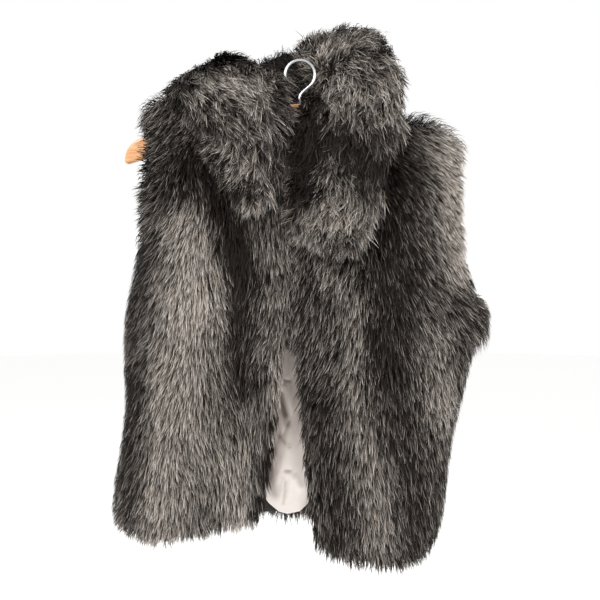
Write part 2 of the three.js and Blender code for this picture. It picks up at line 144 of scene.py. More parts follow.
def surfaced(material, inputs):
    """The material with a principled shader as its surface."""
    tree = material.node_tree
    shader = add(tree, "ShaderNodeBsdfPrincipled", inputs)
    add(tree, "ShaderNodeOutputMaterial", {"Surface": shader})
    return material


# %% Meshes
WELD = 0.02 * MM  # corners closer than this are one


def points_of(mesh):
    co = np.empty(len(mesh.vertices) * 3)
    mesh.vertices.foreach_get("co", co)
    return co.reshape(-1, 3)


def set_points(mesh, points):
    mesh.vertices.foreach_set("co", np.asarray(points, dtype=float).ravel())
    mesh.update()


def normals_of(mesh):
    values = np.empty(len(mesh.vertices) * 3)
    mesh.vertex_normals.foreach_get("vector", values)
    return values.reshape(-1, 3)


def store(mesh, name, values):
    """Stores a number or a vector for each point as an attribute."""
    values = np.asarray(values, dtype=float)
    kind, key = ("FLOAT_VECTOR", "vector") if values.ndim == 2 else ("FLOAT", "value")
    mesh.attributes.new(name, kind, "POINT").data.foreach_set(key, values.ravel())


def new_object(name, mesh):
    obj = bpy.data.objects.new(name, mesh)
    bpy.context.scene.collection.objects.link(obj)
    return obj


def welded(node, name):
    """A copy of a CAD node as one closed surface, in place of its loose triangles."""
    bm = bmesh.new()
    bm.from_mesh(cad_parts[node].data)
    bmesh.ops.remove_doubles(bm, verts=bm.verts, dist=WELD)
    mesh = bpy.data.meshes.new(name)
    bm.to_mesh(mesh)
    bm.free()
    mesh.shade_smooth()
    return mesh


def applied(obj):
    """The object with its modifiers made into its mesh."""
    graph = bpy.context.evaluated_depsgraph_get()
    mesh = bpy.data.meshes.new_from_object(obj.evaluated_get(graph))
    mesh.name = obj.name
    obj.modifiers.clear()
    obj.data = mesh
    return obj


def subdivided(obj, levels):
    """A smoother, finer mesh for the object."""
    finer = obj.modifiers.new("finer", "SUBSURF")
    finer.levels = levels
    finer.render_levels = levels
    return applied(obj)


def to_segment(points, start, end):
    """Distance in the X and Z plane from each point to a segment, and how far along it lies."""
    flat = points[:, [0, 2]]
    start, end = np.array(start), np.array(end)
    run = end - start
    share = np.clip((flat - start) @ run / (run @ run), 0, 1)
    return np.linalg.norm(flat - (start + share[:, None] * run), axis=1), share


# %% [markdown]
# ## The backing of each fur piece
#
# Under the hair a maker sees a knitted backing about 3 mm thick. The CAD solids are as thick
# as the fur lies, so the backing is the same wall with its outer face drawn in towards its
# inner one. Its hem and front edge are drawn back too, because the hair reaches past them.

# %% Which way is out
HALF_WIDTH, HALF_DEPTH = 225 * MM, 70 * MM  # of the vest's hollow body, seen from above
SHOULDER_START, SHOULDER_RISE = -120 * MM, 80 * MM
PLAN_ROUND = 2.6


def outward(points):
    """Unit vectors away from the middle of the vest's hollow."""
    x, y = points[:, 0] / HALF_WIDTH, points[:, 1] / HALF_DEPTH
    z = np.maximum(0, points[:, 2] - SHOULDER_START) / SHOULDER_RISE
    power = PLAN_ROUND - 1
    away = np.stack(
        [
            np.sign(x) * np.abs(x) ** power / HALF_WIDTH,
            np.sign(y) * np.abs(y) ** power / HALF_DEPTH,
            z / SHOULDER_RISE,
        ],
        axis=1,
    )
    return away / np.linalg.norm(away, axis=1)[:, None]


# %% Where the front edges run
# Height, and X of the edge on the picture's left (-1) and right (1), in mm
FRONT_EDGES = np.array([
    (-660, -54, 19), (-595, -50, 15), (-570, -47, 12), (-507, -37, 5), (-445, -25, 0),
    (-385, -20, -5), (-340, -16, -11), (-230, -16, -11), (-180, -20, -2), (-130, -32, 18),
    (-85, -52, 38), (-40, -70, 54),
]) * MM


def front_edge(z, side):
    """X of a front's edge at the heights z. side is -1 for the right front, 1 for the left."""
    return np.interp(z, FRONT_EDGES[:, 0], FRONT_EDGES[:, 1 if side < 0 else 2])


# %% Draw a panel's outer face in
BACKING_SHARE = 0.16  # of the pile's thickness
LONGEST_PILE = 22 * MM  # where the hair stands highest, over the shoulders
INNER_FACE = -0.5  # a face turned further from outward than this is on the inside
HEM_COLUMN = 16 * MM  # the hem's height is read once for each strip of this width
HEM_LIFT, BACK_HEM_LIFT, HEM_REACH = 15 * MM, 25 * MM, 70 * MM
EDGE_BACK, EDGE_REACH = 5 * MM, 24 * MM


def inner_tree(mesh):
    """The inner faces of a wall, to measure from."""
    centres = np.array([p.center for p in mesh.polygons])
    facing = np.array([p.normal for p in mesh.polygons])
    inside = (facing * outward(centres)).sum(axis=1) < INNER_FACE
    faces = [tuple(p.vertices) for p, keep in zip(mesh.polygons, inside) if keep]
    return BVHTree.FromPolygons([v.co for v in mesh.vertices], faces)


def hem_line(points):
    """Height of the hem under each X, from the lowest points of the wall."""
    columns = np.arange(points[:, 0].min(), points[:, 0].max() + HEM_COLUMN, HEM_COLUMN)
    heights = []
    for column in columns:
        near = points[np.abs(points[:, 0] - column) < HEM_COLUMN]
        heights.append(near[:, 2].min() if len(near) else np.nan)
    heights = np.array(heights)
    known = ~np.isnan(heights)
    return lambda x: np.interp(x, columns[known], heights[known])


def drawn_back(away, most, reach):
    """How far a point moves back, for its distance from the edge: most at it, none past reach."""
    return most * np.clip(1 - away / reach, 0, 1) ** 2


def drawn_in(mesh):
    """The points of a wall drawn in towards its inner face, and how far each has gone."""
    points = points_of(mesh)
    inside = inner_tree(mesh)
    nearest = np.array([inside.find_nearest(Vector(p))[0] for p in points])
    thick = np.linalg.norm(points - nearest, axis=1)[:, None]
    kept = np.maximum(BACKING_SHARE, 1 - LONGEST_PILE / np.maximum(thick, LONGEST_PILE))
    drawn = nearest + (points - nearest) * kept
    return drawn, np.linalg.norm(points - drawn, axis=1)


def finished_backing(node, mesh, points, pile):
    """The backing with its points set, as an object that remembers how long its pile is."""
    set_points(mesh, points)
    store(mesh, "pile", pile)
    obj = subdivided(new_object("backing_" + node, mesh), 1)
    print(obj.name, len(obj.data.polygons), "faces")
    return obj


def backing(node, front_side=0):
    """The backing of a panel. front_side is the side of X on which a front lies, or 0."""
    mesh = welded(node, "backing_" + node)
    points, pile = drawn_in(mesh)
    hem = hem_line(points)
    lift = HEM_LIFT if front_side else BACK_HEM_LIFT
    points[:, 2] += drawn_back(points[:, 2] - hem(points[:, 0]), lift, HEM_REACH)
    if front_side:
        away = front_side * (points[:, 0] - front_edge(points[:, 2], front_side))
        points[:, 0] += front_side * drawn_back(np.maximum(away, 0), EDGE_BACK, EDGE_REACH)
    return finished_backing(node, mesh, points, pile)


backings = {
    "front_right": backing("front_right", -1),
    "front_left": backing("front_left", 1),
    "back": backing("back"),
}

# %% [markdown]
# The collar is a closed roll of doubled fur, so its backing is the CAD roll drawn in from all
# round. A ray through the roll says how thick it is there, and so how far in the wall may go.

# %% Draw the collar in
COLLAR_HAIR = 14 * MM
COLLAR_SHARE = 0.34  # of the roll's thickness, from each side
RAY_INSIDE = 0.2 * MM  # a ray through the roll starts this far under its surface


def tree_of(meshes):
    """One search tree for several meshes."""
    corners, faces = [], []
    for mesh in meshes:
        first = len(corners)
        corners += [v.co.copy() for v in mesh.vertices]
        faces += [tuple(first + i for i in p.vertices) for p in mesh.polygons]
    return BVHTree.FromPolygons(corners, faces)


def collar_backing(node):
    """The backing of one half of the collar."""
    mesh = welded(node, "backing_" + node)
    points, normals = points_of(mesh), normals_of(mesh)
    whole = tree_of([mesh])
    moved = []
    for point, normal in zip(points, normals):
        start = Vector(point - normal * RAY_INSIDE)
        _, _, _, through = whole.ray_cast(start, Vector(-normal))
        moved.append(point - normal * min(COLLAR_HAIR, COLLAR_SHARE * (through or 0)))
    return finished_backing(node, mesh, moved, np.linalg.norm(points - moved, axis=1))


for half in ("collar_right", "collar_left"):
    backings[half] = collar_backing(half)

# %% [markdown]
# ## Combing
#
# Fur has a nap: every lock knows which way it lies. Each table row is a place on the piece
# and the way the hair runs there, as an angle from straight down, over to the picture's left
# (below zero) or right. Between the rows the directions are blended by distance.

# %% The nap's directions
NAP = {  # X and Z of a place in mm, and the hair's angle there in degrees
    "front_right": [
        (-195, -120, -72), (-180, -194, -80), (-157, -186, -20), (-137, -170, 28),
        (-195, -240, -60), (-162, -217, -50), (-176, -270, -42), (-195, -280, -55),
        (-151, -250, -18), (-129, -257, 8), (-119, -280, 12), (-101, -286, 25),
        (-159, -301, -25), (-125, -301, 3), (-101, -322, 25), (-201, -356, -58),
        (-190, -385, -42), (-169, -375, -33), (-144, -349, 0), (-109, -391, 25),
        (-201, -435, -42), (-162, -400, -20), (-137, -414, 0), (-94, -427, 28),
        (-190, -464, -28), (-151, -456, -5), (-109, -477, 18), (-130, -492, 22),
        (-166, -499, -5), (-210, -520, -30), (-222, -580, -26), (-137, -521, 22),
        (-173, -580, -10), (-120, -580, 14), (-89, -560, 8), (-65, -215, 15),
        (-59, -301, -12), (-65, -362, -14), (-36, -244, 8), (-43, -320, -6),
        (-48, -445, 2), (-48, -530, 14), (-64, -580, 0),
    ],
    "front_left": [
        (6, -232, -38), (0, -320, -25), (31, -397, -36), (24, -429, -32),
        (48, -365, -28), (47, -414, -26), (40, -469, -16), (25, -580, -6),
        (56, -257, -25), (80, -350, -18), (64, -381, -15), (71, -461, 0),
        (69, -610, -3), (100, -220, 0), (108, -320, 0), (106, -445, 3),
        (113, -580, 3), (130, -132, 50), (155, -120, 55), (181, -157, 50),
        (185, -220, 42), (150, -232, 32), (135, -357, 15), (159, -310, 35),
        (199, -315, 62), (222, -326, 85), (222, -346, 55), (175, -341, 35),
        (207, -374, 28), (175, -381, 12), (151, -397, 5), (191, -405, 18),
        (167, -429, 8), (191, -445, 14), (172, -545, 8), (156, -620, 8),
    ],
    "back": [
        (-205, -120, -45), (-200, -220, -40), (-205, -340, -28), (-215, -460, -22),
        (-215, -600, -18), (-110, -120, -14), (-110, -300, -10), (-110, -580, -6),
        (0, -100, 0), (0, -300, 3), (0, -600, 0), (100, -120, 14), (105, -300, 8),
        (110, -580, 6), (205, -120, 45), (205, -220, 40), (220, -330, 34), (205, -460, 22),
        (190, -600, 16),
    ],
    "collar_right": [
        (-150, -50, -62), (-130, -30, -20), (-125, -45, 72), (-106, -57, 66), (-75, -64, 60),
        (-44, -76, 52), (-20, -44, 82), (-14, -70, 74), (-14, -110, 62), (-16, -150, 46),
        (-106, -89, 38), (-140, -90, -50), (-112, -107, 44), (-81, -107, 34), (-56, -100, 34),
        (-62, -120, 18), (-94, -132, -82), (-112, -140, -62), (-106, -151, -58), (-75, -145, -50),
        (-87, -167, -40), (-56, -151, -5), (-36, -130, 22), (-47, -182, 12), (-69, -188, -10),
        (-90, -10, 40), (-60, 10, 40), (-20, 40, 60),
    ],
    "collar_left": [
        (42, 22, 176), (75, 45, 150), (12, 30, -140), (100, 30, 120), (14, -20, -95),
        (10, -50, -84), (42, -40, -20), (2, -70, -72), (26, -75, -40), (45, -80, -4), (75, -30, 40),
        (116, 6, 72), (122, -25, 40), (122, -80, 18), (80, -80, 12), (30, -110, -14),
        (0, -110, -66), (60, -130, 4), (100, -130, 28), (60, -180, -4), (2, -160, -60),
        (12, -195, -48), (95, -190, 24), (30, -230, -22), (75, -235, 0),
    ],
}
NAP_BLEND = 2.5  # how sharply the nearest row wins
NAP_CORE = 4 * MM  # within this of a row's place its weight grows no more
FORWARD = 0.9  # how far hair on top of a shoulder or roll leans to its own side
BEHIND = 0.5  # a face of the collar turned so far backwards has hair that hangs straight down


def nap(points, normals, rows, side):
    """Unit vectors along the surface, the way the hair runs. side is 1 on the back, else -1."""
    rows = np.array(rows, dtype=float)
    places, angles = rows[:, :2] * MM, np.radians(rows[:, 2])
    gap = np.linalg.norm(points[:, None, [0, 2]] - places[None], axis=2) + NAP_CORE
    weight = gap ** -NAP_BLEND
    weight /= weight.sum(axis=1)[:, None]
    behind = np.clip(normals[:, 1] / BEHIND, 0, 1) if side < 0 else np.zeros(len(points))
    turned = side + 2 * behind
    lean = np.zeros_like(points)
    lean[:, 0] = (weight @ np.sin(angles)) * (1 - behind)
    lean[:, 1] = turned * FORWARD * np.maximum(0, normals[:, 2])
    lean[:, 2] = -(weight @ np.cos(angles)) * (1 - behind) - behind
    lean -= normals * (lean * normals).sum(axis=1)[:, None]
    return lean / np.maximum(np.linalg.norm(lean, axis=1), 1e-6)[:, None]


# %% [markdown]
# ## Light and dark bands, partly painted light and shade
#
# The pelt's own pattern runs in bands, as on a fox: where the pale tips crowd together a stripe
# looks silver, and where the hair parts the dark roots show. The same strokes also paint light and shade:
# paler locks on lit ridges, painted shade in valleys and in the neck, and a painted shadow beside the gap.
# Each row is a stroke from one place to another, its half width, and how light (1) or dark (-1) it is.

# %% Strokes of light and dark: the pelt's bands and painted light and shade
BASE_TONE = {
    "front_right": -0.08, "front_left": -0.22, "back": -0.12, "collar_right": -0.3,
    "collar_left": -0.3,
}
STRONGEST = 1.5  # strokes that lie over each other add up to this at most
# Some strokes are the pelt's own bands; others paint light and shade: paler locks on lit ridges, darker
# ones in valleys and the neck, and a painted shadow along the right front's edge beside the gap.
PELT_AND_SHADE_BANDS = {  # X and Z of both ends and the half width, in mm, and the tone
    "front_right": [
        (-134, -212, -132, -320, 24, 0.9), (-136, -322, -172, -590, 32, 0.8),
        (-114, -140, -78, -250, 20, -1.2), (-78, -250, -78, -415, 16, -1.1),
        (-194, -255, -200, -415, 15, -0.5), (-200, -415, -204, -575, 17, -0.65),
        (-195, -110, -205, -250, 30, -0.45), (-128, -120, -150, -170, 24, -0.5),
        (-52, -260, -52, -420, 9, -0.4), (-26, -380, -25, -425, 9, 0.8),
        (-36, -490, -50, -575, 10, -1.2), (-100, -500, -70, -580, 28, 0.45),
        (-72, -500, -74, -590, 8, 0.4),
    ],
    "front_left": [
        (110, -150, 106, -400, 34, -0.6), (188, -125, 196, -265, 23, 1.5),
        (38, -262, 48, -288, 17, 0.45), (68, -305, 70, -440, 13, 0.7),
        (76, -470, 98, -610, 14, 0.65), (160, -350, 172, -450, 18, 0.55),
        (22, -420, 46, -600, 18, -0.45), (126, -450, 142, -610, 18, -0.4),
        (228, -300, 226, -340, 14, 0.4), (182, -410, 180, -480, 10, 0.5),
        (14, -280, 10, -360, 14, -0.2), (166, -108, 190, -160, 18, 0.6),
    ],
    "back": [
        (-126, -190, -150, -600, 32, 0.6), (-56, -200, -38, -590, 26, -0.6),
        (40, -250, 68, -620, 30, 0.6), (138, -200, 120, -520, 28, -0.6),
        (0, -110, 0, -230, 26, 0.2), (205, -280, 200, -560, 20, 0.3),
    ],
    "collar_right": [
        (-118, -52, -60, -62, 22, 0.75), (-165, -60, -130, -20, 18, -0.6),
        (-148, -100, -104, -120, 12, -0.8), (-85, -124, -56, -148, 12, 0.5),
        (-54, -154, -46, -195, 10, 0.7), (-108, -100, -100, -108, 10, 0.3),
        (-104, -160, -68, -200, 14, -0.9), (-14, -60, -12, -175, 15, -1.3),
        (-100, -8, -20, 25, 20, -0.8), (-44, -98, -38, -108, 9, 0.5),
        (-148, -66, -135, -66, 10, -0.4),
    ],
    "collar_left": [
        (46, -40, 62, -60, 22, 0.8), (32, 2, 50, -12, 18, 0.9), (30, 18, 80, 22, 16, 0.7),
        (100, -20, 108, -85, 15, 0.7), (34, -130, 42, -185, 13, 0.7),
        (20, -212, 76, -212, 20, 1.0), (120, -100, 106, -220, 12, -0.5),
        (4, -62, 8, -185, 20, -1.4), (40, -125, 100, -150, 26, -0.8),
        (95, -130, 100, -180, 12, 0.3),
    ],
}


def stroked(points, rows):
    """The sum of the strokes at each point."""
    total = np.zeros(len(points))
    for x0, z0, x1, z1, width, value in rows:
        away, _ = to_segment(points, (x0 * MM, z0 * MM), (x1 * MM, z1 * MM))
        total += value * np.exp(-((away / (width * MM)) ** 2))
    return np.clip(total, -STRONGEST, STRONGEST)


# %% Strokes where the hair is shorter or longer
SHORTER = {  # X and Z of both ends and the half width, in mm, and the share of length added
    "front_right": [
        (-205, -140, -205, -255, 22, -0.45), (-199, -106, -198, -138, 22, -0.8),
        (-236, -580, -222, -612, 26, -0.5), (-200, -606, -60, -600, 16, -0.3),
        (-44, -490, -50, -560, 10, 0.4),
    ],
    "front_left": [
        (207, -150, 212, -260, 22, -0.3), (22, -625, 170, -640, 16, -0.3),
        (222, -320, 224, -350, 12, 0.6), (150, -92, 185, -112, 14, 0.2),
    ],
    "back": [
        (-205, -110, -205, -255, 24, -0.45), (205, -140, 210, -260, 22, -0.3),
        (-50, -625, -50, -640, 14, -0.7), (14, -625, 22, -640, 12, -0.6),
    ],
    "collar_right": [
        (-170, -60, -130, -20, 14, -0.25), (-22, -44, -20, -60, 12, 1.0),
        (-90, -185, -40, -185, 14, 0.35),
    ],
    "collar_left": [
        (80, 52, 118, -10, 20, -0.6), (10, -48, 4, -64, 12, 0.8), (118, -80, 108, -190, 14, 0.25),
    ],
}

# %% Strokes where the hair stands free of the surface and bridges a gap
LOOSE = {  # X and Z of both ends and the half width, in mm, and how free it is, from 0 to 1
    "front_right": [(-18, -200, -20, -358, 11, 1.0)],
    "front_left": [
        (-9, -200, -8, -358, 11, 1.0), (222, -320, 224, -350, 10, 0.7), (150, -92, 185, -112, 14, 0.3),
    ],
    "back": [],
    "collar_right": [
        (-32, -24, -18, -80, 24, 1.0), (-14, -80, -16, -185, 15, 0.9), (-95, -8, -28, -8, 16, 0.8),
    ],
    "collar_left": [(16, -30, -2, -86, 22, 1.0), (-2, -86, 2, -235, 15, 0.8)],
}
STANDING = 24 * MM  # how much higher the hair stands there


# %% Mark each backing with its nap, its bands and where hair grows
THICKER = 2.2  # how much more hair grows where it is loose
COVER = 16 * MM  # hair doesn't grow where another piece lies closer than this
RAY_OUTSIDE = 0.5 * MM  # a ray to the other pieces starts this far above the surface
OUTER_FACE = -0.25  # a panel's face turned further from outward than this has no hair
SIDEWAYS = 1.3  # how soon a face turned sideways or up counts as wholly so


def bare_or_hairy(node, points, normals, others):
    """1 for each point where hair grows, and 0 where another piece covers it or it faces in."""
    covers = tree_of([backings[other].data for other in others])
    grows = []
    for point, normal in zip(points, normals):
        start = Vector(point + normal * RAY_OUTSIDE)
        grows.append(covers.ray_cast(start, Vector(normal), COVER)[0] is None)
    grows = np.array(grows, dtype=float)
    if node in panels:
        grows *= (normals * outward(points)).sum(axis=1) > OUTER_FACE
    return grows


def mark(node, side, others):
    """Stores the attributes that the fur tree reads, and returns the area where hair grows."""
    mesh = backings[node].data
    points, normals = points_of(mesh), normals_of(mesh)
    grows = bare_or_hairy(node, points, normals, others)
    loose = stroked(points, LOOSE[node])
    sideways = np.clip(SIDEWAYS * np.hypot(normals[:, 0], np.maximum(0, normals[:, 2])), 0, 1)
    store(mesh, "nap", nap(points, normals, NAP[node], side))
    # the tone holds the pelt's bands together with painted light and shade
    store(mesh, "tone", stroked(points, PELT_AND_SHADE_BANDS[node]) + BASE_TONE[node])
    store(mesh, "reach", 1 + stroked(points, SHORTER[node]))
    store(mesh, "hug", 1 - loose)
    store(mesh, "stand", loose * sideways * STANDING)
    store(mesh, "grows", grows * (1 + THICKER * np.clip(loose, 0, 1)))
    return sum(p.area * np.mean(grows[list(p.vertices)]) for p in mesh.polygons)


collars, panels = ["collar_right", "collar_left"], ["front_right", "front_left", "back"]
hairy = {
    "front_right": mark("front_right", -1, collars),
    "front_left": mark("front_left", -1, collars),
    "back": mark("back", 1, collars),
    "collar_right": mark("collar_right", -1, panels),
    "collar_left": mark("collar_left", -1, panels),
}
print("hairy area in square metres:", {k: round(v, 3) for k, v in hairy.items()})

# %% [markdown]
# ## One lock
#
# A lock is a few hundred hairs that taper to one tip. Seen from a step away it is a narrow
# leaf, so a quad and a tip are enough. Its X is across, from -0.5 to 0.5, and its Z along the
# lock, from 0 to 1, and the tree bends it into place.

# %% The template of a lock
LOCK_ROWS = ((0.0, 0.75), (0.52, 1.0), (1.0, 0.0))  # share of length and of width


def lock_template():
    """A flat leaf with a UV map whose V runs from root to tip."""
    corners, faces = [], []
    for along, width in LOCK_ROWS[:-1]:
        corners += [(-width / 2, 0, along), (width / 2, 0, along)]
    corners.append((0, 0, LOCK_ROWS[-1][0]))
    for row in range(len(LOCK_ROWS) - 2):
        first = 2 * row
        faces.append((first, first + 1, first + 3, first + 2))
    faces.append((len(corners) - 3, len(corners) - 2, len(corners) - 1))
    mesh = bpy.data.meshes.new("lock")
    mesh.from_pydata(corners, [], faces)
    uv = mesh.uv_layers.new(name="UVMap")
    for loop in mesh.loops:
        x, _, z = corners[loop.vertex_index]
        uv.data[loop.index].uv = (x + 0.5, z)
    mesh.shade_smooth()
    return new_object("lock", mesh)


lock = lock_template()
LOCK_POINTS = 2 * len(LOCK_ROWS) - 1
print("corners of a lock:", LOCK_POINTS)

# %% [markdown]
# ## The fur tree
#
# Points are scattered over the backing. Each takes the nap, a little noise, and a pull
# towards the middle of the Voronoi cell that it stands in, so that neighbours meet at their
# tips as real locks do. The lock rises from the backing and then lies down along its nap.

# %% Build the Geometry Nodes tree
SWIRL_SCALE = 42.0  # the larger waves of the nap are about 24 mm long
LOCK_TONE, TUFT_TONE = 0.6, 0.45  # how far single locks and whole tufts stray from their band
BOW = 0.4  # how far a lock of wholly unruly fur bends to one side, as a share of its length


FUR_INPUTS = {
    "Geometry": "Geometry", "Lock": "Object", "Material": "Material", "Density": "Float",
    "Length": "Float", "Lift": "Float", "Width": "Float", "Tuft": "Float", "Pull": "Float",
    "Stray": "Float", "Unruly": "Float", "Sag": "Float", "Seed": "Int",
}


class Maker:
    """Short names for the nodes that the fur tree uses over and over."""

    def __init__(self, tree):
        self.tree = tree
        self.given = tree.nodes.new("NodeGroupInput").outputs

    def number(self, operation, *values):
        return add(self.tree, "ShaderNodeMath", dict(enumerate(values)), operation=operation)

    def vector(self, operation, *values):
        return add(self.tree, "ShaderNodeVectorMath", dict(enumerate(values)), operation=operation)

    def scaled(self, value, factor):
        inputs = {0: value, "Scale": factor}
        return add(self.tree, "ShaderNodeVectorMath", inputs, operation="SCALE")

    def dot(self, one, other):
        inputs = {0: one, 1: other}
        return add(self.tree, "ShaderNodeVectorMath", inputs, out="Value", operation="DOT_PRODUCT")

    def stored(self, name, kind="FLOAT"):
        return add(self.tree, "GeometryNodeInputNamedAttribute", {"Name": name}, data_type=kind)

    def chance(self, low, high, seed):
        """A random number from low to high for each lock."""
        total = self.number("ADD", self.given["Seed"], seed)
        return add(
            self.tree, "FunctionNodeRandomValue", {"Min": low, "Max": high, "Seed": total},
            out="Value", data_type="FLOAT",
        )


def scattered(make):
    """Points over the backing where hair grows, and the way out of it at each."""
    spread = make.tree.nodes.new("GeometryNodeDistributePointsOnFaces")
    density = make.number("MULTIPLY", make.given["Density"], make.stored("grows"))
    make.tree.links.new(make.given["Geometry"], spread.inputs["Mesh"])
    make.tree.links.new(density, spread.inputs["Density"])
    make.tree.links.new(make.given["Seed"], spread.inputs["Seed"])
    return spread.outputs["Points"], spread.outputs["Normal"]


def tufted(make, root):
    """The pull towards the middle of a lock's tuft, and the tuft's own random colour."""
    cells = make.tree.nodes.new("ShaderNodeTexVoronoi")
    make.tree.links.new(root, cells.inputs["Vector"])
    make.tree.links.new(make.number("DIVIDE", 1.0, make.given["Tuft"]), cells.inputs["Scale"])
    middle = make.vector("SUBTRACT", cells.outputs["Position"], root)
    colour = make.tree.nodes.new("FunctionNodeSeparateColor")
    make.tree.links.new(cells.outputs["Color"], colour.inputs[0])
    return make.scaled(middle, make.given["Pull"]), colour.outputs


def tuft_chance(make, colour, channel, most):
    """A number from -most to most that all locks of a tuft share."""
    centred = make.number("SUBTRACT", colour[channel], 0.5)
    return make.number("MULTIPLY", centred, make.number("MULTIPLY", most, 2.0))


def aimed(make, root, normal, towards, colour):
    """The way from a lock's root to its tip, along the surface."""
    swirl = add(
        make.tree, "ShaderNodeTexNoise",
        {"Vector": root, "Scale": SWIRL_SCALE, "Detail": 3.0, "Roughness": 0.65}, out="Color",
    )
    swirl = make.scaled(make.vector("SUBTRACT", swirl, (0.5, 0.5, 0.5)), make.given["Stray"])
    reach = make.number("MULTIPLY", make.given["Length"], make.stored("reach"))
    reach = make.number("MULTIPLY", reach, make.chance(0.55, 1.12, 1))
    combed = make.stored("nap", "FLOAT_VECTOR")
    aim = make.vector("ADD", make.scaled(combed, reach), towards)
    aim = make.vector("ADD", aim, make.scaled(swirl, make.given["Length"]))
    lean = tuft_chance(make, colour, "Blue", make.given["Unruly"])
    lean = make.number("MULTIPLY", lean, make.given["Length"])
    aim = make.vector("ADD", aim, make.scaled(make.vector("CROSS_PRODUCT", combed, normal), lean))
    return make.vector("SUBTRACT", aim, make.scaled(normal, make.dot(aim, normal)))


def raised(make, root, normal, aim):
    """How high a lock rises, and how far its tip dips to lie on the surface again."""
    height = make.number("MULTIPLY", make.stored("pile"), make.given["Lift"])
    height = make.number("ADD", height, make.stored("stand"))
    height = make.number("MULTIPLY", height, make.chance(0.35, 1.05, 2))
    tip = make.vector("ADD", root, aim)
    nearest = add(
        make.tree, "GeometryNodeProximity", {0: make.given["Geometry"], "Sample Position": tip},
        out="Position", target_element="FACES",
    )
    dip = make.dot(make.vector("SUBTRACT", nearest, tip), normal)
    dip = make.number("MULTIPLY", make.number("MINIMUM", dip, 0.0), make.stored("hug"))
    return height, dip


def planted(make):
    """A straight lock on every point, which remembers how it is to lie."""
    points, normal = scattered(make)
    root = add(make.tree, "GeometryNodeInputPosition")
    towards, colour = tufted(make, root)
    aim = aimed(make, root, normal, towards, colour)
    height, dip = raised(make, root, normal, aim)
    tone = make.number("ADD", make.stored("tone"), make.chance(-LOCK_TONE, LOCK_TONE, 3))
    tone = make.number("ADD", tone, tuft_chance(make, colour, "Red", TUFT_TONE))
    bow = tuft_chance(make, colour, "Green", BOW)
    bow = make.number("ADD", bow, make.chance(-BOW / 2, BOW / 2, 7))
    bow = make.number("MULTIPLY", bow, make.given["Unruly"])
    bow = make.number("MULTIPLY", bow, make.given["Length"])
    wide = make.number("MULTIPLY", make.given["Width"], make.chance(0.55, 1.4, 6))
    kept = [
        ("root", root, "FLOAT_VECTOR"), ("up", normal, "FLOAT_VECTOR"),
        ("aim", aim, "FLOAT_VECTOR"), ("height", height, "FLOAT"), ("dip", dip, "FLOAT"),
        ("tone", tone, "FLOAT"), ("bow", bow, "FLOAT"), ("warm", make.chance(0.0, 1.0, 4), "FLOAT"),
        ("turn", make.chance(-0.9, 0.9, 5), "FLOAT"), ("wide", wide, "FLOAT"),
    ]
    for name, value, kind in kept:
        points = add(
            make.tree, "GeometryNodeStoreNamedAttribute",
            {"Geometry": points, "Name": name, "Value": value}, data_type=kind,
        )
    shape = add(make.tree, "GeometryNodeObjectInfo", {"Object": make.given["Lock"]}, out="Geometry")
    locks = add(make.tree, "GeometryNodeInstanceOnPoints", {"Points": points, "Instance": shape})
    return add(make.tree, "GeometryNodeRealizeInstances", {"Geometry": locks})


def bent(make, locks):
    """The locks bent into place: each rises from its root and then lies down along its aim."""
    root, up, aim = (make.stored(name, "FLOAT_VECTOR") for name in ("root", "up", "aim"))
    parts = make.tree.nodes.new("ShaderNodeSeparateXYZ")
    straight = make.vector("SUBTRACT", add(make.tree, "GeometryNodeInputPosition"), root)
    make.tree.links.new(straight, parts.inputs[0])
    across, along = parts.outputs["X"], parts.outputs["Z"]
    side, turn = make.vector("NORMALIZE", make.vector("CROSS_PRODUCT", aim, up)), make.stored("turn")
    side = make.vector(
        "ADD", make.scaled(side, make.number("COSINE", turn)), make.scaled(up, make.number("SINE", turn)),
    )
    left = make.number("SUBTRACT", 1.0, along)
    bend = make.number("MULTIPLY", along, along)
    rise = make.number("SUBTRACT", 1.0, make.number("MULTIPLY", left, left))
    rise = make.number("MULTIPLY", make.stored("height"), rise)
    rise = make.number("ADD", rise, make.number("MULTIPLY", make.stored("dip"), bend))
    arch = make.number("MULTIPLY", make.number("MULTIPLY", along, left), 4.0)
    place = make.vector("ADD", root, make.scaled(aim, along))
    place = make.vector("ADD", place, make.scaled(up, rise))
    across = make.number("MULTIPLY", across, make.stored("wide"))
    place = make.vector("ADD", place, make.scaled(side, across))
    bow = make.number("MULTIPLY", arch, make.stored("bow"))
    place = make.vector("ADD", place, make.scaled(side, bow))
    sag = make.number("MULTIPLY", bend, make.given["Sag"])
    place = make.vector("SUBTRACT", place, add(make.tree, "ShaderNodeCombineXYZ", {"Z": sag}))
    return add(make.tree, "GeometryNodeSetPosition", {"Geometry": locks, "Position": place})


def fur_tree():
    """The whole tree, from the marked backing to its finished hair."""
    tree = bpy.data.node_groups.new("fur", "GeometryNodeTree")
    tree.interface.new_socket("Geometry", in_out="OUTPUT", socket_type="NodeSocketGeometry")
    for name, kind in FUR_INPUTS.items():
        tree.interface.new_socket(name, in_out="INPUT", socket_type="NodeSocket" + kind)
    make = Maker(tree)
    coat = {"Geometry": bent(make, planted(make)), "Material": make.given["Material"]}
    add(tree, "NodeGroupOutput", {"Geometry": add(tree, "GeometryNodeSetMaterial", coat)})
    return tree


fur_nodes = fur_tree()
print("nodes in the fur tree:", len(fur_nodes.nodes))

# %% [markdown]
# ## The fur's finish
#
# The hair is modacrylic, spun and crimped, matt at the root and a little glossy at the tip.
# What the eye reads first is the change from near black roots to pale tips, and that is a
# colour ramp along each lock. The lock's tone slides between a dark ramp and a silver one.

# %% Modacrylic hair, dark at the root and silver at the tip
DARK_TONE, SILVER_TONE = -0.45, 0.95  # the tones at which a lock is wholly dark or silver
WARMTH = 0.32  # how far the brownest locks go to brown


